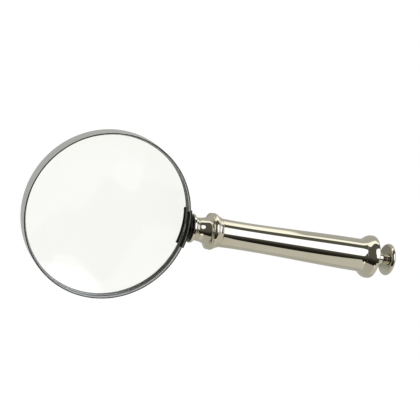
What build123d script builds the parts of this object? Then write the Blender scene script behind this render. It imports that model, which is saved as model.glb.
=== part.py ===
from build123d import *
import os
from math import cos, radians, sin, sqrt

# A hand magnifier: a biconvex glass lens in a thin band rim, on a turned handle that is clamped
# together by a tie rod.  Millimetres.  The origin is the lens's optical centre, +Z is the optical
# axis and +X runs along the handle, away from the lens.

# Lens
LENS_R = 49.9
LENS_EDGE = 2.0
LENS_CURVE_R = 320.0
LENS_BEVEL = 0.15

# Rim band and the two wire rings that hold the lens in it
BAND_BORE_R = 50.0
BAND_WALL = 0.8
BAND_DEPTH = 10.0
BAND_EDGE_R = 0.2
BAND_GAP_DEG = 0.7
WIRE_R = 0.5
WIRE_PLAY = 0.02
SNAP_GAP_DEG = 6.0

# Saddle that closes the band and carries the handle
SADDLE_SHEET = 0.7
SADDLE_LIP_R = 48.3
SADDLE_HALF_DEG = 13.2
SADDLE_CORNER_R = 0.6
BOSS_R = 7.0
RIVET_R = 0.9
RIVET_HEAD_R = 1.5
RIVET_HEAD_RISE = 0.4
RIVET_ANGLE_DEG = 10.0

# Tie rod: a standard M4 rod, drawn at its major diameter
ROD_R = 2.0
ROD_HEAD_R = 3.0
ROD_HEAD_END_X = 52.0
ROD_START_X = 50.85
ROD_END_X = 189.0
ROD_TIP_CHAMFER = 0.4
RUNNING_FIT = 0.05
NUT_ACROSS_CORNERS_R = 4.04
NUT_THICKNESS = 3.2

# Stations of the turned pieces along the handle, from the lens outwards
BASE_X = 53.0
NECK_BEAD_X = 54.8
BELL_X = 57.2
TORUS_X = 65.5
STEP_X = 69.0
TUBE_X = 72.2
FERRULE_X = 169.6
COLLAR_X = 177.0
WASHER_X = 184.2
KNOB_X = 184.6
KNOB_FACE_X = 186.9
KNOB_WIDEST_X = 188.4
KNOB_TIP_X = 191.35

# Radii of the turned pieces
BASE_R = 8.9
BASE_EDGE_R = 0.5
NECK_END_R = 6.75
NECK_BEAD_R = 7.4
NECK_BEAD_HALF = 0.8
BELL_NECK_R = 6.75
BELL_FLARE = [(58.4, 7.15), (60.2, 7.35), (62.0, 7.85), (63.6, 8.65), (64.7, 9.9)]
BELL_RIM_R = 11.15
BELL_LIP = 0.3
TORUS_R = 11.35
TORUS_END_R = 10.65
STEP_TOP_R = 10.4
STEP_SHOULDER = (70.5, 9.75)
STEP_END_R = 8.9
TUBE_FRONT_R = 8.85
TUBE_WAIST_X = 84.0
TUBE_WAIST_R = 8.57
TUBE_MID_X = 123.0
TUBE_MID_R = 9.3
TUBE_FLARE_X = 165.5
TUBE_FLARE_R = 10.28
TUBE_REAR_R = 10.75
TUBE_BORE_FRONT_R = 7.7
TUBE_BORE_REAR_R = 9.2
SPIGOT_FRONT_R = 6.5
SPIGOT_REAR_R = 7.0
SPIGOT_REAR_END_X = 173.0
FRONT_BUSH_END_X = 80.0
REAR_BUSH_X = 161.0
FERRULE_FLARE = (171.4, 12.2)
FERRULE_R = 13.55
FERRULE_CREST = 0.6
FERRULE_SHOULDER_R = 1.6
COLLAR_R = 3.8
COLLAR_EDGE_R = 0.35
WASHER_R = 3.6
KNOB_NECK_R = 3.2
KNOB_FACE_R = 9.0
KNOB_R = 10.1
KNOB_BORE_END_X = 189.6

# Nut pocket inside the bell
POCKET_X = 59.8
POCKET_R = 4.6
POCKET_FLARE_X = 61.6
POCKET_MOUTH_R = 9.0

band_outer_r = BAND_BORE_R + BAND_WALL
saddle_outer_r = band_outer_r + SADDLE_SHEET
rod_hole_r = ROD_R + RUNNING_FIT
lens_sag = LENS_CURVE_R - sqrt(LENS_CURVE_R**2 - LENS_R**2)
lens_crown = LENS_EDGE / 2 + lens_sag


def turned(outer, bore=rod_hole_r, pocket=()):
    """Solid turned about the handle's axis.

    outer is a run of edges in (x, radius) from left to right; the bore closes it, and pocket
    lists any steps of the bore, from right to left.
    """
    start, end = outer[0] @ 0, outer[-1] @ 1
    inner = Polyline((end.X, end.Y), *(pocket or [(end.X, bore)]), (start.X, bore), (start.X, start.Y))
    return revolve(Plane.XZ * make_face([*outer, *inner.edges()]), axis=Axis.X)


def ring_about_z(section, gap_deg=0.0):
    """Ring about the optical axis, open by gap_deg where the handle joins it."""
    ring = revolve(Plane.XZ * section, axis=Axis.Z, revolution_arc=360 - gap_deg)
    return Rot(Z=gap_deg / 2) * ring


def tie_rod():
    """Rod with a countersunk head in the saddle, which clamps the handle together."""
    return turned(Polyline(
        (ROD_START_X, ROD_HEAD_R),
        (ROD_HEAD_END_X, ROD_R),
        (ROD_END_X - ROD_TIP_CHAMFER, ROD_R),
        (ROD_END_X, ROD_R - ROD_TIP_CHAMFER),
    ).edges(), bore=0.0)


def rivet(angle_deg):
    """One radial rivet through the band's end and the saddle's web, with a low domed head."""
    inner_x = BAND_BORE_R + RUNNING_FIT
    head_x = saddle_outer_r
    dome_r = (RIVET_HEAD_R**2 + RIVET_HEAD_RISE**2) / (2 * RIVET_HEAD_RISE)
    outline = [
        *Polyline((inner_x, 0), (inner_x, RIVET_R), (head_x, RIVET_R), (head_x, RIVET_HEAD_R)).edges(),
        RadiusArc((head_x, RIVET_HEAD_R), (head_x + RIVET_HEAD_RISE, 0), dome_r),
        Line((head_x + RIVET_HEAD_RISE, 0), (inner_x, 0)),
    ]
    return Rot(Z=angle_deg) * revolve(Plane.XZ * make_face(outline), axis=Axis.X)


def rivet_hole(angle_deg):
    """Radial hole for one rivet."""
    length = 2 * (saddle_outer_r - BAND_BORE_R)
    hole = Cylinder(RIVET_R, length, rotation=(0, 90, 0))
    return Rot(Z=angle_deg) * Pos((BAND_BORE_R + saddle_outer_r) / 2, 0, 0) * hole


def lens():
    """Biconvex lens with a flat ground edge and a fine bevel at each side."""
    bevel_r = LENS_R - LENS_BEVEL
    bevel_z = lens_crown - LENS_CURVE_R + sqrt(LENS_CURVE_R**2 - bevel_r**2)
    mid_r = bevel_r / 2
    mid_z = lens_crown - LENS_CURVE_R + sqrt(LENS_CURVE_R**2 - mid_r**2)
    edge_z = LENS_EDGE / 2 - LENS_BEVEL
    outline = [
        ThreePointArc((0, lens_crown), (mid_r, mid_z), (bevel_r, bevel_z)),
        *Polyline((bevel_r, bevel_z), (LENS_R, edge_z), (LENS_R, -edge_z), (bevel_r, -bevel_z)).edges(),
        ThreePointArc((bevel_r, -bevel_z), (mid_r, -mid_z), (0, -lens_crown)),
        Line((0, -lens_crown), (0, lens_crown)),
    ]
    return revolve(Plane.XZ * make_face(outline), axis=Axis.Z)


def rim_band():
    """Thin band round the lens, split where the saddle covers it."""
    section = Pos(BAND_BORE_R + BAND_WALL / 2, 0) * RectangleRounded(BAND_WALL, BAND_DEPTH, BAND_EDGE_R)
    band = ring_about_z(section, BAND_GAP_DEG)
    for side in (-1, 1):
        band -= rivet_hole(side * RIVET_ANGLE_DEG)
    return band


def lens_ring(side, gap_deg=0.0):
    """Wire ring in the band's bore that bears on the lens; side is -1 behind it and 1 in front."""
    wire_centre_r = BAND_BORE_R - WIRE_R
    slope = wire_centre_r / sqrt(LENS_CURVE_R**2 - wire_centre_r**2)
    surface_z = lens_crown - LENS_CURVE_R + sqrt(LENS_CURVE_R**2 - wire_centre_r**2)
    wire_z = surface_z + WIRE_R * sqrt(1 + slope**2) + WIRE_PLAY
    return ring_about_z(Pos(wire_centre_r, side * wire_z) * Circle(WIRE_R), gap_deg)


def rim_saddle():
    """Channel that wraps both edges of the band, with holes for the tie rod and the rivets."""
    ring = Circle(saddle_outer_r) - Circle(SADDLE_LIP_R)
    reach_x = 2 * saddle_outer_r * cos(radians(SADDLE_HALF_DEG))
    reach_y = 2 * saddle_outer_r * sin(radians(SADDLE_HALF_DEG))
    wedge = make_face(Polyline((0, 0), (reach_x, -reach_y), (reach_x, reach_y), (0, 0)).edges())
    sector = ring & wedge
    inner_corners = sector.vertices().sort_by_distance((0, 0))[:2]
    sector = fillet(inner_corners, SADDLE_CORNER_R)
    depth = BAND_DEPTH + 2 * SADDLE_SHEET
    saddle = extrude(Pos(0, 0, -depth / 2) * sector, depth) - Cylinder(band_outer_r, BAND_DEPTH)
    saddle -= tie_rod()
    for side in (-1, 1):
        saddle -= rivet_hole(side * RIVET_ANGLE_DEG)
    return saddle


def saddle_boss():
    """Round boss on the saddle, hollowed behind to fit it, with a flat face for the handle."""
    edge = Line((BAND_BORE_R, BOSS_R), (BASE_X, BOSS_R))
    boss = turned([edge], bore=0.0) - Cylinder(saddle_outer_r, 4 * BOSS_R)
    return boss - tie_rod()


def saddle_rivets():
    """The two rivets that fasten the band's ends to the saddle."""
    return Compound([rivet(side * RIVET_ANGLE_DEG) for side in (-1, 1)])


def base_disc():
    """Rounded disc at the foot of the handle, flat against the boss."""
    low, top = BASE_R - BASE_EDGE_R, BASE_R
    left, right = BASE_X, NECK_BEAD_X
    return turned([
        RadiusArc((left, low), (left + BASE_EDGE_R, top), BASE_EDGE_R),
        Line((left + BASE_EDGE_R, top), (right - BASE_EDGE_R, top)),
        RadiusArc((right - BASE_EDGE_R, top), (right, low), BASE_EDGE_R),
    ])


def neck_bead():
    """Narrow ring with a bead round its middle."""
    middle = (NECK_BEAD_X + BELL_X) / 2
    bead_start, bead_end = middle - NECK_BEAD_HALF, middle + NECK_BEAD_HALF
    return turned([
        Line((NECK_BEAD_X, NECK_END_R), (bead_start, NECK_END_R)),
        ThreePointArc((bead_start, NECK_END_R), (middle, NECK_BEAD_R), (bead_end, NECK_END_R)),
        Line((bead_end, NECK_END_R), (BELL_X, NECK_END_R)),
    ])


def bell_cup():
    """Bell that flares from the neck to the torus, hollow behind for the lock nut."""
    lip_x = TORUS_X - BELL_LIP
    flare = Spline(
        [(BELL_X, BELL_NECK_R), *BELL_FLARE, (lip_x, BELL_RIM_R)],
        tangents=[(1, 0.9), (0.3, 1)],
    )
    lip = Line((lip_x, BELL_RIM_R), (TORUS_X, BELL_RIM_R))
    pocket = [
        (TORUS_X, POCKET_MOUTH_R),
        (POCKET_FLARE_X, POCKET_R),
        (POCKET_X, POCKET_R),
        (POCKET_X, rod_hole_r),
    ]
    return turned([flare, lip], pocket=pocket)


def lock_nut():
    """Hexagon nut on the tie rod that clamps the bell, neck and base disc to the saddle."""
    hexagon = Plane.YZ.offset(POCKET_X) * RegularPolygon(NUT_ACROSS_CORNERS_R, 6)
    bore = Plane.YZ.offset(POCKET_X) * Circle(rod_hole_r)
    return extrude(hexagon - bore, NUT_THICKNESS)


def bead_ring():
    """Heavy rounded ring between the bell and the step ring."""
    middle = (TORUS_X + STEP_X) / 2
    crown = ThreePointArc((TORUS_X, TORUS_END_R), (middle, TORUS_R), (STEP_X, TORUS_END_R))
    return turned([crown], bore=SPIGOT_FRONT_R)


def step_ring():
    """Ring that steps down from the bead to the tube in a quarter-round."""
    shoulder = Spline(
        [(STEP_X, STEP_TOP_R), STEP_SHOULDER, (TUBE_X, STEP_END_R)],
        tangents=[(1, -0.2), (0.6, -1)],
    )
    return turned([shoulder], bore=SPIGOT_FRONT_R)


def handle_tube():
    """Thin tapered grip tube, slightly waisted near the lens and flared at the far end."""
    outer = Spline(
        [
            (TUBE_X, TUBE_FRONT_R),
            (TUBE_WAIST_X, TUBE_WAIST_R),
            (TUBE_MID_X, TUBE_MID_R),
            (TUBE_FLARE_X, TUBE_FLARE_R),
            (FERRULE_X, TUBE_REAR_R),
        ],
        tangents=[(1, -0.05), (1, 0.35)],
    )
    bore = [
        (FERRULE_X, TUBE_BORE_REAR_R),
        (REAR_BUSH_X, TUBE_BORE_REAR_R),
        (TUBE_WAIST_X, TUBE_BORE_FRONT_R),
    ]
    return turned([outer], bore=TUBE_BORE_FRONT_R, pocket=bore)


def front_bush():
    """Stepped bush that centres the step ring, the bead ring and the tube on the tie rod."""
    return turned(Polyline(
        (TORUS_X, SPIGOT_FRONT_R),
        (TUBE_X, SPIGOT_FRONT_R),
        (TUBE_X, TUBE_BORE_FRONT_R),
        (FRONT_BUSH_END_X, TUBE_BORE_FRONT_R),
    ).edges())


def rear_bush():
    """Stepped bush that centres the tube and the end ferrule on the tie rod."""
    return turned(Polyline(
        (REAR_BUSH_X, TUBE_BORE_REAR_R),
        (FERRULE_X, TUBE_BORE_REAR_R),
        (FERRULE_X, SPIGOT_REAR_R),
        (SPIGOT_REAR_END_X, SPIGOT_REAR_R),
    ).edges())


def end_ferrule():
    """Flared cap on the tube's far end, with a rounded shoulder."""
    crest_end_x = COLLAR_X - FERRULE_SHOULDER_R
    crest_x = crest_end_x - FERRULE_CREST
    face_r = FERRULE_R - FERRULE_SHOULDER_R
    flare = Spline(
        [(FERRULE_X, TUBE_REAR_R), FERRULE_FLARE, (crest_x, FERRULE_R)],
        tangents=[(1, 0.55), (1, 0)],
    )
    crest = Line((crest_x, FERRULE_R), (crest_end_x, FERRULE_R))
    shoulder = RadiusArc((crest_end_x, FERRULE_R), (COLLAR_X, face_r), FERRULE_SHOULDER_R)
    pocket = [
        (COLLAR_X, rod_hole_r),
        (SPIGOT_REAR_END_X, rod_hole_r),
        (SPIGOT_REAR_END_X, SPIGOT_REAR_R),
    ]
    return turned([flare, crest, shoulder], bore=SPIGOT_REAR_R, pocket=pocket)


def pommel_collar():
    """Short spacer collar between the ferrule and the knob."""
    low = COLLAR_R - COLLAR_EDGE_R
    return turned([
        Line((COLLAR_X, COLLAR_R), (WASHER_X - COLLAR_EDGE_R, COLLAR_R)),
        RadiusArc((WASHER_X - COLLAR_EDGE_R, COLLAR_R), (WASHER_X, low), COLLAR_EDGE_R),
    ])


def pommel_washer():
    """Thin captive washer under the knob's neck."""
    return turned([Line((WASHER_X, WASHER_R), (KNOB_X, WASHER_R))])


def pommel_knob():
    """Domed knob on a short neck, with the blind thread that screws on to the tie rod."""
    dome_rise = KNOB_TIP_X - KNOB_WIDEST_X
    dome_middle = (KNOB_WIDEST_X + dome_rise * sin(radians(45)), KNOB_R * cos(radians(45)))
    outline = [
        Line((KNOB_X, rod_hole_r), (KNOB_X, KNOB_NECK_R)),
        Line((KNOB_X, KNOB_NECK_R), (KNOB_FACE_X, KNOB_NECK_R)),
        Line((KNOB_FACE_X, KNOB_NECK_R), (KNOB_FACE_X, KNOB_FACE_R)),
        Spline([(KNOB_FACE_X, KNOB_FACE_R), (KNOB_WIDEST_X, KNOB_R)], tangents=[(0, 1), (1, 0)]),
        Spline(
            [(KNOB_WIDEST_X, KNOB_R), dome_middle, (KNOB_TIP_X, 0)],
            tangents=[(1, 0), (0, -1)],
        ),
        *Polyline(
            (KNOB_TIP_X, 0), (KNOB_BORE_END_X, 0), (KNOB_BORE_END_X, rod_hole_r), (KNOB_X, rod_hole_r)
        ).edges(),
    ]
    return revolve(Plane.XZ * make_face(outline), axis=Axis.X)


NODES = {
    "lens": lens(),
    "rim_band": rim_band(),
    "lens_seat_ring": lens_ring(-1),
    "lens_snap_ring": lens_ring(1, SNAP_GAP_DEG),
    "rim_saddle": rim_saddle(),
    "saddle_boss": saddle_boss(),
    "saddle_rivets": saddle_rivets(),
    "tie_rod": tie_rod(),
    "base_disc": base_disc(),
    "neck_bead": neck_bead(),
    "bell_cup": bell_cup(),
    "lock_nut": lock_nut(),
    "bead_ring": bead_ring(),
    "step_ring": step_ring(),
    "handle_tube": handle_tube(),
    "front_bush": front_bush(),
    "rear_bush": rear_bush(),
    "end_ferrule": end_ferrule(),
    "pommel_collar": pommel_collar(),
    "pommel_washer": pommel_washer(),
    "pommel_knob": pommel_knob(),
}

os.makedirs("parts", exist_ok=True)
for name, shape in NODES.items():
    export_step(shape, f"parts/{name}.step")
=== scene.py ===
from math import cos, pi, radians, sin, sqrt, tan

import bmesh
import bpy
from mathutils import Matrix, Vector


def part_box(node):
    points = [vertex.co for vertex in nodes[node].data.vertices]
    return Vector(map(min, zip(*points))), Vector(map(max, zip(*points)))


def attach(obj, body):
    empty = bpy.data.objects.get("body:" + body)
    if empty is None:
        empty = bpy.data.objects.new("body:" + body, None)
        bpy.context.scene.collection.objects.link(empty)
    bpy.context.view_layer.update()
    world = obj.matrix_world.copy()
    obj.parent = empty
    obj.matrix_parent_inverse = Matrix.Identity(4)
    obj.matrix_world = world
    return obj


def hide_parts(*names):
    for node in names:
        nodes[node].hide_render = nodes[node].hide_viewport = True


# A hand magnifier lying on a pale table.  The scene is in metres, in the CAD's frame: the lens's
# centre is the origin, +Z its axis, and +X runs along the handle.  Sizes of pieces are in mm.

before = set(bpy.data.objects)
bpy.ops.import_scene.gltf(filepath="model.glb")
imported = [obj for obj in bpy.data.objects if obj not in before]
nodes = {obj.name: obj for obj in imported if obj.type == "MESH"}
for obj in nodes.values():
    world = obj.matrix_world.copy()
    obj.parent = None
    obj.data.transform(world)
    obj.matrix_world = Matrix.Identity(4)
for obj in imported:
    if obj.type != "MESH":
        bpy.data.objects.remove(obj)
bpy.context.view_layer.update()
scene = bpy.context.scene

MM = 0.001


# ---------------------------------------------------------------- shader helpers

class Shader:
    """A small node tree, with short ways to add and link nodes."""

    def __init__(self, tree):
        self.tree = tree
        tree.nodes.clear()

    def node(self, kind, inputs=None, **settings):
        made = self.tree.nodes.new(kind)
        for key, value in settings.items():
            setattr(made, key, value)
        for key, value in (inputs or {}).items():
            self.feed(made.inputs[key], value)
        return made

    def feed(self, socket, value):
        if isinstance(value, bpy.types.NodeSocket):
            self.tree.links.new(value, socket)
        else:
            socket.default_value = value

    def math(self, operation, a, b=0.0):
        return self.node("ShaderNodeMath", {0: a, 1: b}, operation=operation).outputs[0]

    def step(self, value, start, end):
        """0 below start, 1 above end, smooth between; start may be above end."""
        return self.node(
            "ShaderNodeMapRange",
            {"Value": value, "From Min": start, "From Max": end},
            interpolation_type="SMOOTHSTEP",
        ).outputs["Result"]

    def mix(self, factor, a, b):
        made = self.node("ShaderNodeMix", data_type="RGBA")
        self.feed(made.inputs[0], factor)
        self.feed(made.inputs[6], a)
        self.feed(made.inputs[7], b)
        return made.outputs[2]

    def noise(self, coords, scale, detail, roughness):
        return self.node(
            "ShaderNodeTexNoise",
            {"Vector": coords, "Scale": scale, "Detail": detail, "Roughness": roughness},
        ).outputs["Fac"]

    def patches(self, coords, noise, limits):
        """Noise of the given scale, detail and roughness as soft patches: 0 to 1 between the limits."""
        return self.step(self.noise(coords, *noise), *limits)

    def place(self):
        """The point's own place on the object, in metres."""
        return self.node("ShaderNodeTexCoord").outputs["Object"]

    def scaled(self, coords, factors):
        return self.node("ShaderNodeMapping", {"Vector": coords, "Scale": factors}).outputs[0]

    def bump(self, height, depth, strength=1.0):
        made = self.node("ShaderNodeBump", {"Height": height, "Strength": strength, "Distance": depth})
        return made.outputs[0]

    def mix_shaders(self, factor, a, b):
        return self.node("ShaderNodeMixShader", {0: factor, 1: a.outputs[0], 2: b.outputs[0]})

    def show(self, surface, kind="ShaderNodeOutputMaterial"):
        """Makes surface what the material or world shows."""
        self.tree.links.new(surface.outputs[0], self.node(kind).inputs["Surface"])


def new_material(name):
    material = bpy.data.materials.new(name)
    material.use_nodes = True
    return material, Shader(material.node_tree)


# ---------------------------------------------------------------- camera

CAMERA_AIM = Vector((63.1, 13.0, 0)) * MM
CAMERA_AZIMUTH = radians(150.67)
CAMERA_ELEVATION = radians(65.93)
CAMERA_DISTANCE = 944 * MM
CAMERA_ROLL = radians(131.0)
CAMERA_LENS = 133.64
SENSOR_WIDTH = 36
CLIP_START = 10 * MM


def add_camera():
    camera = bpy.data.objects.new("camera", bpy.data.cameras.new("camera"))
    scene.collection.objects.link(camera)
    away = Vector((
        cos(CAMERA_ELEVATION) * cos(CAMERA_AZIMUTH),
        cos(CAMERA_ELEVATION) * sin(CAMERA_AZIMUTH),
        sin(CAMERA_ELEVATION),
    ))
    turn = away.to_track_quat("Z", "Y").to_matrix() @ Matrix.Rotation(CAMERA_ROLL, 3, "Z")
    camera.matrix_world = Matrix.Translation(CAMERA_AIM + CAMERA_DISTANCE * away) @ turn.to_4x4()
    camera.data.lens = CAMERA_LENS
    camera.data.sensor_width = SENSOR_WIDTH
    camera.data.clip_start = CLIP_START
    scene.camera = camera


add_camera()


# ---------------------------------------------------------------- studio

# Tones of the surroundings, from dark to bright; the table's mirrored ones are painted shade and painted
# light
DARK = (0.016, 0.015, 0.011, 1)
DUSK = (0.105, 0.104, 0.09, 1)
PAPER_UNDER_SHADE = (0.26, 0.26, 0.235, 1)
PAPER_SHADE = (0.50, 0.50, 0.475, 1)
CEILING_FAR = (0.50, 0.495, 0.445, 1)
CEILING = (0.64, 0.63, 0.575, 1)
BACKDROP = (0.93, 0.93, 0.93, 1)
SKYLIGHT = (1.2, 1.2, 1.15, 1)
PAPER_LIT = (1.40, 1.39, 1.31, 1)
WINDOW = (1.50, 1.55, 1.72, 1)

# Table top: its own shade, and the light that keeps it pale
FLOOR_HALF = 3.0
PAPER = (0.12, 0.12, 0.12, 1)
PAPER_LIFT = 0.97

# Where the table's mirrored painted shade and painted light change, in mm: from the object outwards, and
# along the handle
UNDER_EDGE = (6, 13)
LIT_EDGE = (20, 42)
LIT_NARROWING = (125, 160)
LIT_NARROWING_BY = 50.0
LIT_END_SOFT = 16
LIT_SLANT = 0.577

# Where the studio's parts meet, in degrees from the zenith towards +X or +Y
DUSK_EDGE = (-14, 14)
CEILING_EDGE = (-23.2, -24.6)
FAR_EDGE = (7, 6)
CEILING_SHIFTS = ((FAR_EDGE, 5.5), ((10, 21), 5.5), ((20.5, 28), -16.0), ((34, 62), -22.0))
SKYLIGHT_X_EDGE = (22, 16)
SKYLIGHT_Y_EDGE = (-40, -35)
HORIZON = (89, 93)
HORIZON_SIDE = (-6, 6)

# Windows as (x, y, half width, half depth) in the same degrees, and how square and soft the ovals are
MAIN_WINDOW = (33, 35, 24, 24)
HIGH_WINDOW = (16, 43, 19, 15)
END_WINDOW = (81, 27, 11, 19)
END_WINDOW_SOFT = 4.0
OVAL_POWER = 2.6
OVAL_EDGE = (1.15, 0.9)


def mirrored_paper(s):
    """What polished metal mirrors of the table: painted shade, grey near the object and darkest under the
    handle, and painted light, bright towards the window.
    """
    parts = s.node("ShaderNodeSeparateXYZ", {0: s.place()}).outputs
    across = s.math("DIVIDE", parts["Y"], MM)
    along = s.math("DIVIDE", parts["X"], MM)
    rim_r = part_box("rim_band")[1].y / MM
    from_centre = s.math("SQRT", s.math("ADD", s.math("POWER", along, 2.0), s.math("POWER", across, 2.0)))
    from_rim = s.math("SUBTRACT", from_centre, rim_r)
    from_handle = s.math("MAXIMUM", s.math("ABSOLUTE", across), s.math("SUBTRACT", rim_r, along))
    narrowing = s.math("MULTIPLY", s.step(along, *LIT_NARROWING), LIT_NARROWING_BY)
    reach = s.math("MINIMUM", s.math("SUBTRACT", across, narrowing), from_rim)
    ahead = s.math("SUBTRACT", along, s.math("MULTIPLY", across, LIT_SLANT))
    tube_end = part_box("end_ferrule")[0].x / MM
    lit = s.math("MULTIPLY", s.step(reach, *LIT_EDGE), s.step(ahead, tube_end, tube_end - LIT_END_SOFT))
    # painted shade under and near the object, then painted light where the window's light would fall
    tone = s.mix(s.step(from_handle, *UNDER_EDGE), PAPER_UNDER_SHADE, PAPER_SHADE)
    return s.mix(lit, tone, PAPER_LIT)


def floor_paper():
    """Pale matt paper to the eye, also through the lens; polished metal mirrors painted shade and painted
    light on it instead.
    """
    material, s = new_material("floor")
    paper = s.node("ShaderNodeBsdfDiffuse", {"Color": PAPER})
    lift = s.node("ShaderNodeEmission", {"Color": (1, 1, 1, 1), "Strength": PAPER_LIFT})
    seen = s.node("ShaderNodeAddShader", {0: paper.outputs[0], 1: lift.outputs[0]})
    mirrored = s.node("ShaderNodeEmission", {"Color": mirrored_paper(s)})
    path = s.node("ShaderNodeLightPath").outputs
    glossy = s.math("SUBTRACT", path["Is Glossy Ray"], path["Is Transmission Ray"])
    s.show(s.mix_shaders(glossy, seen, mirrored))
    return material


def add_floor():
    """Table top, tilted so that the rim's far edge and the bead ring rest on it."""
    rim_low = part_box("rim_band")[0]
    ring_low, ring_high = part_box("bead_ring")
    ring_x = (ring_low.x + ring_high.x) / 2
    slope = (ring_low.z - rim_low.z) / (ring_x - rim_low.x)
    bm = bmesh.new()
    for x, y in ((-1, -1), (1, -1), (1, 1), (-1, 1)):
        x, y = x * FLOOR_HALF, y * FLOOR_HALF
        bm.verts.new((x, y, rim_low.z + slope * (x - rim_low.x)))
    bm.faces.new(bm.verts)
    mesh = bpy.data.meshes.new("floor")
    bm.to_mesh(mesh)
    bm.free()
    mesh.materials.append(floor_paper())
    floor = bpy.data.objects.new("floor", mesh)
    scene.collection.objects.link(floor)


def add_world():
    """Soft studio: windows and a low strip on the +Y side, a pale ceiling on the other, dark above."""
    world = bpy.data.worlds.new("studio")
    world.use_nodes = True
    scene.world = world
    s = Shader(world.node_tree)
    direction = s.node("ShaderNodeTexCoord").outputs["Generated"]
    parts = s.node("ShaderNodeSeparateXYZ", {0: direction}).outputs
    from_top = s.math("MULTIPLY", s.math("ARCCOSINE", parts["Z"]), 180 / pi)
    flat = s.math("SQRT", s.math("SUBTRACT", 1.0, s.math("POWER", parts["Z"], 2.0)))
    flat = s.math("MAXIMUM", flat, 1e-4)
    x = s.math("MULTIPLY", from_top, s.math("DIVIDE", parts["X"], flat))
    y = s.math("MULTIPLY", from_top, s.math("DIVIDE", parts["Y"], flat))

    def box(x0, y0, half_x, half_y, soft):
        """1 inside the box about (x0, y0), with soft edges."""
        a = s.step(s.math("ABSOLUTE", s.math("SUBTRACT", x, x0)), half_x + soft, half_x - soft)
        b = s.step(s.math("ABSOLUTE", s.math("SUBTRACT", y, y0)), half_y + soft, half_y - soft)
        return s.math("MULTIPLY", a, b)

    def oval(x0, y0, half_x, half_y):
        """1 inside the rounded box about (x0, y0)."""
        a = s.math("ABSOLUTE", s.math("DIVIDE", s.math("SUBTRACT", x, x0), half_x))
        b = s.math("ABSOLUTE", s.math("DIVIDE", s.math("SUBTRACT", y, y0), half_y))
        size = s.math("ADD", s.math("POWER", a, OVAL_POWER), s.math("POWER", b, OVAL_POWER))
        return s.step(size, *OVAL_EDGE)

    # dark overhead, a little lighter towards the window
    colour = s.mix(s.step(y, *DUSK_EDGE), DARK, DUSK)
    # pale ceiling on the -Y side, beyond a broken line, with a skylight, dimmer towards -X
    edge = y
    for limits, shift in CEILING_SHIFTS:
        edge = s.math("ADD", edge, s.math("MULTIPLY", s.step(x, *limits), shift))
    skylight = s.math("MULTIPLY", s.step(x, *SKYLIGHT_X_EDGE), s.step(y, *SKYLIGHT_Y_EDGE))
    ceiling = s.mix(s.step(x, *FAR_EDGE), s.mix(skylight, CEILING, SKYLIGHT), CEILING_FAR)
    colour = s.mix(s.step(edge, *CEILING_EDGE), colour, ceiling)
    # bright strip along the horizon and the windows on the +Y side
    side = s.math("SUBTRACT", y, s.math("DIVIDE", x, LIT_SLANT))
    strip = s.math("MULTIPLY", s.step(from_top, *HORIZON), s.step(side, *HORIZON_SIDE))
    colour = s.mix(strip, colour, PAPER_LIT)
    colour = s.mix(s.math("MAXIMUM", oval(*MAIN_WINDOW), oval(*HIGH_WINDOW)), colour, WINDOW)
    colour = s.mix(box(*END_WINDOW, END_WINDOW_SOFT), colour, WINDOW)
    studio = s.node("ShaderNodeBackground", {"Color": colour})
    backdrop = s.node("ShaderNodeBackground", {"Color": BACKDROP})
    camera_ray = s.node("ShaderNodeLightPath").outputs["Is Camera Ray"]
    s.show(s.mix_shaders(camera_ray, studio, backdrop), "ShaderNodeOutputWorld")


add_floor()
add_world()
scene.view_settings.view_transform = "Standard"


# ---------------------------------------------------------------- materials

# Patches as (scale per metre, detail, roughness) of their noise, then the limits they fade between
HAZE = (45, 4.0, 0.6), (0.42, 0.68)
SMUDGES = (160, 5.0, 0.65), (0.45, 0.72)
WORN_SPOTS = (260, 4.0, 0.65), (0.30, 0.52)
FINGER_MARKS = (60, 5.0, 0.7), (0.5, 0.75)

# Plain noise: scale, detail and roughness
GROOVES = (1.0, 2.0, 0.6)
BRUSHING = (320, 4.0, 0.6)
GRIT = (2600, 3.0, 0.7)
WHEEL_MARKS = (1.0, 2.0, 0.5)

# Painted shade in the corner between the lens and its wire rings, and the band's unpolished inside
PAINTED_CORNER_SHADE = (0.035, 0.035, 0.03, 1)
PAINTED_SHADE_EDGE = (0.925, 0.725)
SATIN = 0.42
SATIN_EDGE = (0.05, 0.15)

BRUSH_STRETCH = (1, 1, 14)
BRUSH_DEPTH = 0.000012
BLACK_DEEP = (0.007, 0.007, 0.006, 1)
BLACK_THIN = (0.014, 0.0135, 0.012, 1)
# Bare steel on a thin line over the band's wall: worn-through black, and also a painted highlight
BARE_STEEL_HIGHLIGHT = (0.42, 0.41, 0.38, 1)
RIDGE_HALF = (0.42, 0.22)
RIDGE_TOP = (0.22, 0.02)

GLASS_CLEAN = (0.989, 0.998, 0.958, 1)
GLASS_MARKED = (0.985, 0.994, 0.954, 1)
GLASS_SHADOW = (0.975, 0.98, 0.965, 1)
MARK_ROUGHNESS = 0.012
CROWN_GLASS_IOR = 1.52

GROUND_DARK = (0.50, 0.55, 0.51, 1)
GROUND_PALE = (0.72, 0.77, 0.73, 1)
WHEEL_STRETCH = (20, 20, 3000)
GRIT_DEPTH = 0.00002


def from_lens_axis(s, place):
    """Distance from the Z axis, in metres."""
    flat = s.node("ShaderNodeVectorMath", {0: place, 1: (1, 1, 0)}, operation="MULTIPLY").outputs[0]
    return s.node("ShaderNodeVectorMath", {0: flat}, operation="LENGTH").outputs["Value"]


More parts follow.
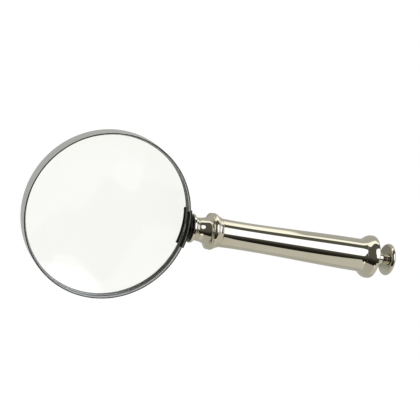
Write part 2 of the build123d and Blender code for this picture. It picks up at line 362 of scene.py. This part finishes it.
def metal(name, clean, dull, roughness, lines, line_depth, corner_shade=None, satin=None):
    """Metal with a faint tarnish, handling smudges and fine machining lines.

    roughness gives its value where clean and where smudged.
    lines are the three line densities per metre on X, Y and Z; line_depth is in metres.
    Its painted-shade argument gives the two distances from the lens's axis, in mm, between which a dark
    painted shade fades out.
    satin gives two such distances, between which unpolished metal turns polished, going outwards.
    """
    material, s = new_material(name)
    place = s.place()
    haze = s.patches(place, *HAZE)
    smudge = s.patches(place, *SMUDGES)
    grooves = s.noise(s.scaled(place, lines), *GROOVES)
    smooth, worn = roughness
    wear = s.math("MULTIPLY", smudge, worn - smooth)
    if satin:
        inside = s.step(from_lens_axis(s, place), satin[1] * MM, satin[0] * MM)
        wear = s.math("ADD", wear, s.math("MULTIPLY", inside, SATIN))
    colour = s.mix(haze, (*clean, 1), (*dull, 1))
    # painted shade: the colour darkens towards the lens's edge, standing in for the shade in the corner
    if corner_shade:
        clear = s.step(from_lens_axis(s, place), corner_shade[0] * MM, corner_shade[1] * MM)
        colour = s.mix(clear, PAINTED_CORNER_SHADE, colour)
    s.show(s.node("ShaderNodeBsdfPrincipled", {
        "Base Color": colour,
        "Metallic": 1.0,
        "Roughness": s.math("ADD", wear, smooth),
        "Normal": s.bump(grooves, line_depth),
    }))
    return material


def blackened(name):
    """Blackened steel, brushed along the bend, its black worn through over the band's edges to a bare line
    that is also a painted highlight.
    """
    material, s = new_material(name)
    place = s.place()
    grain = s.noise(s.scaled(place, BRUSH_STRETCH), *BRUSHING)
    height = s.math("ABSOLUTE", s.node("ShaderNodeSeparateXYZ", {0: place}).outputs["Z"])
    low, high = ((SADDLE_DEPTH / 2 - depth) * MM for depth in RIDGE_TOP)
    off_ridge = s.math("SUBTRACT", from_lens_axis(s, place), (BAND_BORE_R + BAND_WALL / 2) * MM)
    wide, narrow = (half * MM for half in RIDGE_HALF)
    on_ridge = s.step(s.math("ABSOLUTE", off_ridge), wide, narrow)
    ridge = s.math("MULTIPLY", s.step(height, low, high), on_ridge)
    # worn-through line, in spots, that also paints the band's edge highlight onto the lip
    worn_highlight = s.math("MULTIPLY", ridge, s.patches(place, *WORN_SPOTS))
    s.show(s.node("ShaderNodeBsdfPrincipled", {
        "Base Color": s.mix(worn_highlight, s.mix(grain, BLACK_DEEP, BLACK_THIN), BARE_STEEL_HIGHLIGHT),
        "Metallic": s.math("MULTIPLY", worn_highlight, 0.9),
        "Roughness": s.math("ADD", s.math("MULTIPLY", grain, 0.12), 0.30),
        "Specular IOR Level": 0.3,
        "Normal": s.bump(grain, BRUSH_DEPTH),
    }))
    return material


def glass():
    """Clear crown glass, faintly greenish, with a trace of finger marks; it casts no dark shadow."""
    material, s = new_material("lens_glass")
    marks = s.patches(s.place(), *FINGER_MARKS)
    surface = s.node("ShaderNodeBsdfPrincipled", {
        "Base Color": s.mix(marks, GLASS_CLEAN, GLASS_MARKED),
        "Roughness": s.math("MULTIPLY", marks, MARK_ROUGHNESS),
        "IOR": CROWN_GLASS_IOR,
        "Specular IOR Level": 0.55,
        "Transmission Weight": 1.0,
    })
    clear = s.node("ShaderNodeBsdfTransparent", {"Color": GLASS_SHADOW})
    path = s.node("ShaderNodeLightPath").outputs
    passes = s.math("MAXIMUM", path["Is Shadow Ray"], path["Is Diffuse Ray"])
    s.show(s.mix_shaders(passes, surface, clear))
    return material


def ground_glass():
    """The lens's fine-ground edge: grey-green and matt, with ring marks from the edging wheel."""
    material, s = new_material("lens_ground_edge")
    place = s.place()
    grit = s.noise(place, *GRIT)
    rings = s.noise(s.scaled(place, WHEEL_STRETCH), *WHEEL_MARKS)
    s.show(s.node("ShaderNodeBsdfPrincipled", {
        "Base Color": s.mix(s.math("MULTIPLY", grit, rings), GROUND_DARK, GROUND_PALE),
        "Roughness": s.math("ADD", s.math("MULTIPLY", grit, 0.2), 0.55),
        "Normal": s.bump(grit, GRIT_DEPTH, strength=0.6),
    }))
    return material


# ---------------------------------------------------------------- sizes of the pieces, in mm

LENS_R = 49.9
LENS_EDGE = 2.0
LENS_CURVE_R = 320.0
LENS_BEVEL = 0.15
BAND_BORE_R = 50.0
BAND_WALL = 0.8
BAND_DEPTH = 10.0
BAND_EDGE_R = 0.2
BAND_GAP = radians(0.12)
WIRE_R = 0.5
WIRE_PLAY = 0.02
SNAP_GAP = radians(6)
SADDLE_SHEET = 0.7
SADDLE_DEPTH = BAND_DEPTH + 2 * SADDLE_SHEET
SADDLE_LIP_R = 48.3
SADDLE_HALF = radians(13.2)
SADDLE_CORNER_R = 0.6
SADDLE_EDGE_R = 0.14
SADDLE_END_EASE = 0.084
BOSS_R = 7.0
BOSS_FACE_X = 53.0
RIVET_R = 0.9
RIVET_HEAD_R = 1.5
RIVET_HEAD_RISE = 0.4
RIVET_ANGLE = radians(10)
RIVET_PLAY = 0.05
BOSS_EDGE_R = 0.3
BOSS_EDGE_SHARE = 0.25
BOSS_FACE_R = 6.5

ROD_R = 2.0
ROD_HOLE_R = 2.05
ROD_HEAD_R = 3.0
ROD_HEAD_END_X = 52.0
ROD_START_X = 50.85
ROD_END_X = 189.0
ROD_TIP_CHAMFER = 0.4
THREAD_PITCH = 0.7
THREAD_DEPTH = 0.43
THREAD_RUNOUT = 2 * THREAD_PITCH
THREAD_ROWS = 10
THREADS = ((57.0, 67.0), (176.0, 189.0))

# Stations of the turned pieces along the handle, from the lens outwards
BASE_X = 53.0
NECK_BEAD_X = 54.8
BELL_X = 57.2
TORUS_X = 65.5
STEP_X = 69.0
TUBE_X = 72.2
FERRULE_X = 169.6
COLLAR_X = 177.0
WASHER_X = 184.2
KNOB_X = 184.6
KNOB_FACE_X = 186.9
KNOB_WIDEST_X = 188.4
KNOB_BORE_END_X = 189.6
KNOB_TIP_X = 191.35

# Radii of the turned pieces, and the points their outlines pass through
BASE_R = 8.9
BASE_EDGE_R = 0.5
NECK_END_R = 6.75
NECK_BEAD_R = 7.4
NECK_BEAD_HALF = 0.8
BELL_FLARE = [(58.4, 7.15), (60.2, 7.35), (62.0, 7.85), (63.6, 8.65), (64.7, 9.9)]
BELL_RIM_R = 11.15
BELL_LIP = 0.3
POCKET_X = 59.8
POCKET_R = 4.6
POCKET_FLARE_X = 61.6
POCKET_MOUTH_R = 9.0
TORUS_R = 11.35
TORUS_END_R = 10.65
STEP_TOP_R = 10.4
STEP_SHOULDER = (70.5, 9.75)
STEP_END_R = 8.9
SPIGOT_FRONT_R = 6.5
TUBE_FRONT_R = 8.85
TUBE_WAIST_X = 84.0
TUBE_WAIST_R = 8.57
TUBE_MIDDLE = (123.0, 9.3)
TUBE_FLARE = (165.5, 10.28)
TUBE_REAR_R = 10.75
TUBE_BORE_FRONT_R = 7.7
TUBE_BORE_REAR_R = 9.2
TUBE_BORE_REAR_X = 161.0
FERRULE_FLARE = (171.4, 12.2)
FERRULE_R = 13.55
FERRULE_CREST = 0.6
FERRULE_SHOULDER_R = 1.6
SPIGOT_REAR_R = 7.0
SPIGOT_REAR_END_X = 173.0
COLLAR_R = 3.8
COLLAR_EDGE_R = 0.35
WASHER_R = 3.6
KNOB_NECK_R = 3.2
KNOB_NECK_EDGE_R = 0.25
KNOB_FACE_R = 9.0
KNOB_R = 10.1

# Eased edges of the turned pieces, and the wider ones at the joints that show as fine lines
EASE = 0.08
SEAM = 0.14

band_outer_r = BAND_BORE_R + BAND_WALL
saddle_outer_r = band_outer_r + SADDLE_SHEET
lens_crown = LENS_EDGE / 2 + LENS_CURVE_R - sqrt(LENS_CURVE_R**2 - LENS_R**2)


# ---------------------------------------------------------------- outlines

ARC_STEPS = 6
ARC_SHARE = 0.45
SUPPORT = 0.12
CURVE_STEPS = 12
CURVE_ROUNDS = 40


def rounded(corners):
    """Closed outline through (x, y) or (x, y, radius) corners; those with a radius become arcs."""
    points = []
    count = len(corners)
    for i, corner in enumerate(corners):
        here = Vector(corner[:2])
        if len(corner) == 2:
            points.append(here)
            continue
        back = Vector(corners[i - 1][:2]) - here
        ahead = Vector(corners[(i + 1) % count][:2]) - here
        half = back.angle(ahead) / 2
        reach = min(corner[2] / tan(half), ARC_SHARE * back.length, ARC_SHARE * ahead.length)
        radius = reach * tan(half)
        start, end = here + reach * back.normalized(), here + reach * ahead.normalized()
        centre = here + (back.normalized() + ahead.normalized()).normalized() * radius / sin(half)
        first, last = start - centre, end - centre
        sweep = first.angle_signed(last)
        for k in range(ARC_STEPS + 1):
            turn = Matrix.Rotation(-sweep * k / ARC_STEPS, 2)
            points.append(centre + turn @ first)
    return points


def supported(points):
    """The same closed outline with a point just inside each end of its long straight runs."""
    result = []
    for here, after in zip(points, points[1:] + points[:1]):
        result.append(here)
        run = after - here
        if run.length > 5 * SUPPORT:
            step = SUPPORT * run.normalized()
            result += [here + step, after - step]
    return result


def curve(knots, start, end, steps=CURVE_STEPS):
    """Points along a smooth curve through the knots, leaving along start and arriving along end."""
    knots = [Vector(knot) for knot in knots]
    spans = [(b - a).length for a, b in zip(knots, knots[1:])]
    slopes = [(b - a).normalized() for a, b in zip(knots, knots[1:])]
    slopes[0] = Vector(start).normalized()
    slopes.append(Vector(end).normalized())
    for _ in range(CURVE_ROUNDS):
        for i in range(1, len(knots) - 1):
            left, right = spans[i - 1], spans[i]
            pull = 3 * (right / left * (knots[i] - knots[i - 1]) + left / right * (knots[i + 1] - knots[i]))
            slopes[i] = (pull - right * slopes[i - 1] - left * slopes[i + 1]) / (2 * (left + right))
    points = [knots[0]]
    for i, span in enumerate(spans):
        for k in range(1, steps + 1):
            t = k / steps
            points.append(
                (2 * t**3 - 3 * t**2 + 1) * knots[i] + (t**3 - 2 * t**2 + t) * span * slopes[i]
                + (3 * t**2 - 2 * t**3) * knots[i + 1] + (t**3 - t**2) * span * slopes[i + 1]
            )
    return [tuple(point) for point in points]


def shell(outer, bore=ROD_HOLE_R, pocket=()):
    """Outline of a turned piece: outer from left to right, then its bore, or its pocket, back again."""
    inner = list(pocket) or [(outer[-1][0], bore, EASE)]
    return [*outer, *inner, (outer[0][0], bore, EASE)]


# ---------------------------------------------------------------- meshes

SEGMENTS = 144
FINE_SEGMENTS = 192
LENS_SEGMENTS = 180
WIRE_SEGMENTS = 240
BAND_SEGMENTS = 360
BOSS_SEGMENTS = 96
ROD_SEGMENTS = 48
RIVET_SEGMENTS = 40
SHARP = radians(32)
LENS_SHARP = radians(20)
THREAD_SHARP = radians(50)
AT_AXIS = 1e-6


def about_x(along, radius, angle):
    return Vector((along, radius * cos(angle), radius * sin(angle)))


def about_z(along, radius, angle):
    return Vector((radius * cos(angle), radius * sin(angle), along))


def spin(bm, outline, place=about_x, segments=SEGMENTS, gap=0.0, turn=None):
    """Quads that turn a closed outline of (along, radius) points about an axis, open by gap."""
    count = segments if gap == 0 else segments + 1
    angles = [gap / 2 + (2 * pi - gap) * i / segments for i in range(count)]
    rings = []
    for along, radius in outline:
        at_axis = radius < AT_AXIS
        shown = angles[:1] if at_axis else angles
        spots = [place(along, 0 if at_axis else radius, angle) for angle in shown]
        if turn:
            spots = [turn @ spot for spot in spots]
        ring = [bm.verts.new(spot * MM) for spot in spots]
        rings.append(ring * count if at_axis else ring)
    for ring, after in zip(rings, rings[1:] + rings[:1]):
        for i in range(segments):
            j = (i + 1) % count
            corners = list(dict.fromkeys((ring[i], ring[j], after[j], after[i])))
            if len(corners) > 2:
                bm.faces.new(corners)
    if gap:
        bm.faces.new([ring[0] for ring in rings])
        bm.faces.new([ring[-1] for ring in rings])


def add_piece(name, bm, material, node, body="magnifier", sharp=SHARP):
    """Closes a mesh, shades it smooth except at sharp edges, and hangs it on its CAD body."""
    bmesh.ops.recalc_face_normals(bm, faces=bm.faces)
    mesh = bpy.data.meshes.new(name)
    bm.to_mesh(mesh)
    bm.free()
    mesh.polygons.foreach_set("use_smooth", [True] * len(mesh.polygons))
    mesh.set_sharp_from_angle(angle=sharp)
    for finish in material if isinstance(material, tuple) else (material,):
        mesh.materials.append(finish)
    piece = bpy.data.objects.new(name, mesh)
    scene.collection.objects.link(piece)
    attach(piece, body)
    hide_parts(node)
    return piece


def add_turned(name, corners, material, node, body="magnifier", segments=SEGMENTS):
    bm = bmesh.new()
    spin(bm, supported(rounded(corners)), segments=segments)
    return add_piece(name, bm, material, node, body)


# ---------------------------------------------------------------- rim and lens

def sphere_z(radius):
    return lens_crown - LENS_CURVE_R + sqrt(LENS_CURVE_R**2 - radius**2)


def add_lens(polished, ground):
    """Biconvex lens: two polished faces and a ground edge with a fine bevel."""
    rings = 40
    bevel_r = LENS_R - LENS_BEVEL
    radii = [bevel_r * i / rings for i in range(rings + 1)]
    edge_z = LENS_EDGE / 2 - LENS_BEVEL
    top = [(sphere_z(radius), radius) for radius in radii]
    edge = [(edge_z, LENS_R), (0, LENS_R), (-edge_z, LENS_R)]
    bottom = [(-z, radius) for z, radius in reversed(top)]
    bm = bmesh.new()
    spin(bm, top + edge + bottom, about_z, segments=LENS_SEGMENTS)
    for face in bm.faces:
        face.material_index = int(face.calc_center_median().to_2d().length > bevel_r * MM)
    add_piece("lens_blank", bm, (polished, ground), "lens", sharp=LENS_SHARP)


def add_band(material):
    """Thin band with rolled edges, split where the saddle covers it."""
    half = BAND_DEPTH / 2
    section = [
        (-half, BAND_BORE_R, BAND_EDGE_R), (half, BAND_BORE_R, BAND_EDGE_R / 2),
        (half, band_outer_r, BAND_EDGE_R / 2), (-half, band_outer_r, BAND_EDGE_R),
    ]
    bm = bmesh.new()
    spin(bm, supported(rounded(section)), about_z, segments=BAND_SEGMENTS, gap=BAND_GAP)
    add_piece("rim_band_rolled", bm, material, "rim_band")


def add_lens_ring(name, node, side, gap, material):
    """Wire ring that holds the lens in the band, behind it or in front."""
    wire_centre_r = BAND_BORE_R - WIRE_R
    slope = wire_centre_r / sqrt(LENS_CURVE_R**2 - wire_centre_r**2)
    wire_z = side * (sphere_z(wire_centre_r) + WIRE_R * sqrt(1 + slope**2) + WIRE_PLAY)
    steps = 16
    section = [
        (wire_z + WIRE_R * cos(2 * pi * i / steps), wire_centre_r + WIRE_R * sin(2 * pi * i / steps))
        for i in range(steps)
    ]
    bm = bmesh.new()
    spin(bm, section, about_z, segments=WIRE_SEGMENTS, gap=gap)
    add_piece(name, bm, material, node)


def saddle_section(inner_r):
    """Channel section as (height, radius) corners, with its lips reaching in to inner_r."""
    outer, depth = SADDLE_DEPTH / 2, BAND_DEPTH / 2
    e = SADDLE_EDGE_R
    return rounded([
        (-outer, saddle_outer_r, 2 * e), (outer, saddle_outer_r, 2 * e),
        (outer, inner_r, e), (depth, inner_r, e), (depth, band_outer_r, e),
        (-depth, band_outer_r, e), (-depth, inner_r, e), (-outer, inner_r, e),
    ])


def add_saddle(material):
    """Channel pressed round both edges of the band, its lip corners rounded off."""
    steps = 72
    bm = bmesh.new()
    rings = []
    for i in range(steps + 1):
        # closer together near both ends, where the lip's corners turn
        angle = -SADDLE_HALF * cos(pi * i / steps)
        from_end = (SADDLE_HALF - abs(angle)) * SADDLE_LIP_R
        into_corner = max(0.0, SADDLE_CORNER_R - from_end)
        inner_r = SADDLE_LIP_R + SADDLE_CORNER_R - sqrt(SADDLE_CORNER_R**2 - into_corner**2)
        rings.append([bm.verts.new(about_z(z, r, angle) * MM) for z, r in saddle_section(inner_r)])
    for ring, after in zip(rings, rings[1:]):
        count = len(ring)
        for k in range(count):
            n = (k + 1) % count
            bm.faces.new((ring[k], ring[n], after[n], after[k]))
    ends = [bm.faces.new(rings[0]), bm.faces.new(rings[-1])]
    edges = list({edge for face in ends for edge in face.edges})
    bmesh.ops.bevel(
        bm, geom=edges, offset=SADDLE_END_EASE * MM, segments=2, affect="EDGES", clamp_overlap=True
    )
    add_piece("saddle_channel", bm, material, "rim_saddle")


def add_boss(material):
    """Round boss hollowed behind to lie on the saddle; its along value runs 0 at the back to 1."""
    def place(along, radius, angle):
        back_x = sqrt(saddle_outer_r**2 - (radius * cos(angle))**2)
        return about_x(back_x + along * (BOSS_FACE_X - back_x), radius, angle)

    back_rings = 6
    edge_steps = 5
    turns = [pi / 2 * k / edge_steps for k in range(edge_steps + 1)]
    back = [(0, BOSS_R + (ROD_HOLE_R - BOSS_R) * i / back_rings) for i in range(back_rings + 1)]
    edge = [(1 - BOSS_EDGE_SHARE * (1 - sin(a)), BOSS_R - BOSS_EDGE_R * (1 - cos(a))) for a in turns]
    front = [(1, BOSS_FACE_R), (1, ROD_HOLE_R)]
    bm = bmesh.new()
    spin(bm, back[::-1] + edge + front, place, segments=BOSS_SEGMENTS)
    add_piece("boss_turned", bm, material, "saddle_boss")


def add_rivets(material):
    """Two radial rivets with low domed heads."""
    inner_x = BAND_BORE_R + RIVET_PLAY
    dome_r = (RIVET_HEAD_R**2 + RIVET_HEAD_RISE**2) / (2 * RIVET_HEAD_RISE)
    dome_x = saddle_outer_r + RIVET_HEAD_RISE - dome_r
    steps = 8
    dome = [
        (dome_x + sqrt(dome_r**2 - (RIVET_HEAD_R * (1 - i / steps))**2), RIVET_HEAD_R * (1 - i / steps))
        for i in range(steps + 1)
    ]
    outline = [(inner_x, 0), (inner_x, RIVET_R), (saddle_outer_r, RIVET_R), *dome]
    bm = bmesh.new()
    for side in (-1, 1):
        spin(bm, outline, segments=RIVET_SEGMENTS, turn=Matrix.Rotation(side * RIVET_ANGLE, 3, "Z"))
    add_piece("rivet_pair", bm, material, "saddle_rivets")


# ---------------------------------------------------------------- handle

def add_rod(material):
    """Tie rod with a countersunk head and a real M4 thread at each end."""
    stations = [(ROD_START_X, 0.0), (ROD_START_X, ROD_HEAD_R), (ROD_HEAD_END_X, ROD_R)]
    for start, end in THREADS:
        rows = round((end - start) / THREAD_PITCH * THREAD_ROWS)
        stations += [(start + (end - start) * i / rows, ROD_R) for i in range(rows + 1)]
    stations.append((ROD_END_X, 0.0))

    def place(along, radius, angle):
        cut = 0.0
        for start, end in THREADS:
            if radius == ROD_R and start <= along <= end:
                depth = THREAD_DEPTH * min(1.0, (along - start) / THREAD_RUNOUT)
                phase = (along / THREAD_PITCH - angle / (2 * pi)) % 1.0
                cut = depth * (1 - abs(2 * phase - 1))
        chamfer = max(0.0, along - ROD_END_X + ROD_TIP_CHAMFER)
        return about_x(along, radius - max(cut, chamfer) if radius else 0, angle)

    bm = bmesh.new()
    spin(bm, stations, place, segments=ROD_SEGMENTS)
    add_piece("tie_rod_threaded", bm, material, "tie_rod", sharp=THREAD_SHARP)


def seamed(outline):
    """The outline with eased corners at both its ends, so the joints there show as fine lines."""
    return [(*outline[0], SEAM), *outline[1:-1], (*outline[-1], SEAM)]


def add_base_disc(material):
    disc = [(BASE_X, BASE_R, BASE_EDGE_R), (NECK_BEAD_X, BASE_R, BASE_EDGE_R)]
    add_turned("base_disc_turned", shell(disc), material, "base_disc")


def add_neck_bead(material):
    middle = (NECK_BEAD_X + BELL_X) / 2
    rise = NECK_BEAD_R - NECK_END_R
    steps = 12
    angles = [pi * (1 - i / steps) for i in range(steps + 1)]
    bead = [(middle + NECK_BEAD_HALF * cos(angle), NECK_END_R + rise * sin(angle)) for angle in angles]
    ends = (NECK_BEAD_X, NECK_END_R, EASE), (BELL_X, NECK_END_R, EASE)
    add_turned("neck_bead_turned", shell([ends[0], *bead, ends[1]]), material, "neck_bead")


def add_bell(material):
    """Bell that flares to a thin lip, with the lock nut's pocket inside."""
    lip = (TORUS_X - BELL_LIP, BELL_RIM_R)
    flare = curve([(BELL_X, NECK_END_R), *BELL_FLARE, lip], (1, 0.9), (0.3, 1))
    outer = [*flare[:-1], (*lip, EASE), (TORUS_X, BELL_RIM_R, SEAM)]
    pocket = [
        (TORUS_X, POCKET_MOUTH_R, EASE), (POCKET_FLARE_X, POCKET_R, EASE),
        (POCKET_X, POCKET_R, EASE), (POCKET_X, ROD_HOLE_R, EASE),
    ]
    add_turned("bell_turned", shell(outer, pocket=pocket), material, "bell_cup")


def add_bead_ring(material):
    middle = (TORUS_X + STEP_X) / 2
    crown = curve([(TORUS_X, TORUS_END_R), (middle, TORUS_R), (STEP_X, TORUS_END_R)], (1, 0.87), (1, -0.87))
    add_turned("bead_ring_turned", shell(seamed(crown), bore=SPIGOT_FRONT_R), material, "bead_ring")


def add_step_ring(material):
    shoulder = curve([(STEP_X, STEP_TOP_R), STEP_SHOULDER, (TUBE_X, STEP_END_R)], (1, -0.2), (0.6, -1))
    add_turned("step_ring_turned", shell(seamed(shoulder), bore=SPIGOT_FRONT_R), material, "step_ring")


def add_grip(material):
    """Drawn tube that swells from its waist to a slight flare; its bore tapers with it."""
    grip = curve(
        [
            (TUBE_X, TUBE_FRONT_R), (TUBE_WAIST_X, TUBE_WAIST_R), TUBE_MIDDLE, TUBE_FLARE,
            (FERRULE_X, TUBE_REAR_R),
        ],
        (1, -0.05), (1, 0.35), steps=2 * CURVE_STEPS,
    )
    bore = [
        (FERRULE_X, TUBE_BORE_REAR_R, EASE), (TUBE_BORE_REAR_X, TUBE_BORE_REAR_R),
        (TUBE_WAIST_X, TUBE_BORE_FRONT_R),
    ]
    outline = shell(seamed(grip), bore=TUBE_BORE_FRONT_R, pocket=bore)
    add_turned("grip_tube_drawn", outline, material, "handle_tube", segments=FINE_SEGMENTS)


def add_end_ferrule(material):
    """Flared cap with a rounded shoulder, bored out behind for the rear bush."""
    crest_x = COLLAR_X - FERRULE_SHOULDER_R - FERRULE_CREST
    flare = curve([(FERRULE_X, TUBE_REAR_R), FERRULE_FLARE, (crest_x, FERRULE_R)], (1, 0.55), (1, 0))
    outer = [(*flare[0], SEAM), *flare[1:], (COLLAR_X, FERRULE_R, FERRULE_SHOULDER_R)]
    pocket = [
        (COLLAR_X, ROD_HOLE_R, EASE), (SPIGOT_REAR_END_X, ROD_HOLE_R, EASE),
        (SPIGOT_REAR_END_X, SPIGOT_REAR_R, EASE),
    ]
    outline = shell(outer, bore=SPIGOT_REAR_R, pocket=pocket)
    add_turned("end_ferrule_turned", outline, material, "end_ferrule", segments=FINE_SEGMENTS)


def add_pommel_collar(material):
    collar = [(COLLAR_X, COLLAR_R, EASE), (WASHER_X, COLLAR_R, COLLAR_EDGE_R)]
    add_turned("pommel_collar_turned", shell(collar), material, "pommel_collar")


def add_pommel_washer(material):
    washer = [(WASHER_X, WASHER_R, EASE), (KNOB_X, WASHER_R, EASE)]
    add_turned("pommel_washer_pressed", shell(washer), material, "pommel_washer", body="washer")


def add_pommel_knob(material):
    """Domed knob on a short neck, with a blind hole for the rod."""
    back = curve([(KNOB_FACE_X, KNOB_FACE_R), (KNOB_WIDEST_X, KNOB_R)], (0, 1), (1, 0))
    rise = KNOB_TIP_X - KNOB_WIDEST_X
    halfway = radians(45)
    dome_middle = (KNOB_WIDEST_X + rise * sin(halfway), KNOB_R * cos(halfway))
    dome = curve([(KNOB_WIDEST_X, KNOB_R), dome_middle, (KNOB_TIP_X, 0)], (1, 0), (0, -1), steps=20)
    neck = [(KNOB_X, KNOB_NECK_R, EASE), (KNOB_FACE_X, KNOB_NECK_R, KNOB_NECK_EDGE_R)]
    hole = [(KNOB_BORE_END_X, 0), (KNOB_BORE_END_X, ROD_HOLE_R), (KNOB_X, ROD_HOLE_R, EASE)]
    outline = [*neck, *back, *dome[1:-1], (KNOB_TIP_X, 0), *hole]
    add_turned("pommel_knob_turned", outline, material, "pommel_knob", body="pommel")


# Machining lines per metre on X, Y and Z
TURNED = (9000, 60, 60)
ROLLED = (60, 60, 7000)
DRAWN_WIRE = (400, 400, 4000)
STAMPED = (4000, 700, 700)

warm_nickel = {"clean": (0.74, 0.705, 0.60), "dull": (0.70, 0.655, 0.54), "roughness": (0.03, 0.07)}
handle_nickel = metal("handle_nickel", **warm_nickel, lines=TURNED, line_depth=6e-7)
tube_nickel = metal("tube_nickel", **warm_nickel, lines=TURNED, line_depth=5e-7)
rim_nickel = metal(
    "rim_nickel", clean=(0.76, 0.765, 0.765), dull=(0.71, 0.71, 0.70), roughness=(0.04, 0.10),
    lines=ROLLED, line_depth=1e-6, satin=[BAND_BORE_R + out for out in SATIN_EDGE],
)
rod_steel = metal(
    "rod_steel", clean=(0.56, 0.555, 0.54), dull=(0.42, 0.41, 0.39), roughness=(0.22, 0.42),
    lines=TURNED, line_depth=4e-6,
)
# the wire rings carry painted shade on their side towards the lens
ring_wire = metal(
    "ring_wire", clean=(0.70, 0.70, 0.685), dull=(0.58, 0.58, 0.565), roughness=(0.3, 0.45),
    lines=DRAWN_WIRE, line_depth=4e-6,
    corner_shade=[BAND_BORE_R - depth for depth in PAINTED_SHADE_EDGE],
)
bush_brass = metal(
    "bush_brass", clean=(0.72, 0.54, 0.25), dull=(0.52, 0.38, 0.17), roughness=(0.2, 0.4),
    lines=TURNED, line_depth=4e-6,
)
washer_steel = metal(
    "washer_steel", clean=(0.14, 0.135, 0.125), dull=(0.07, 0.065, 0.06), roughness=(0.3, 0.5),
    lines=STAMPED, line_depth=4e-6,
)
saddle_black = blackened("saddle_black")

add_lens(glass(), ground_glass())
add_band(rim_nickel)
add_lens_ring("seat_ring_wire", "lens_seat_ring", -1, 0.0, ring_wire)
add_lens_ring("snap_ring_wire", "lens_snap_ring", 1, SNAP_GAP, ring_wire)
add_saddle(saddle_black)
add_boss(saddle_black)
add_rivets(saddle_black)
add_rod(rod_steel)
add_base_disc(handle_nickel)
add_neck_bead(handle_nickel)
add_bell(handle_nickel)
add_bead_ring(handle_nickel)
add_step_ring(handle_nickel)
add_grip(tube_nickel)
add_end_ferrule(handle_nickel)
add_pommel_collar(handle_nickel)
add_pommel_washer(washer_steel)
add_pommel_knob(handle_nickel)

# the three CAD pieces that are kept, with their own finishes
for node, finish in (("lock_nut", rod_steel), ("front_bush", bush_brass), ("rear_bush", bush_brass)):
    mesh = nodes[node].data
    mesh.materials.clear()
    mesh.materials.append(finish)
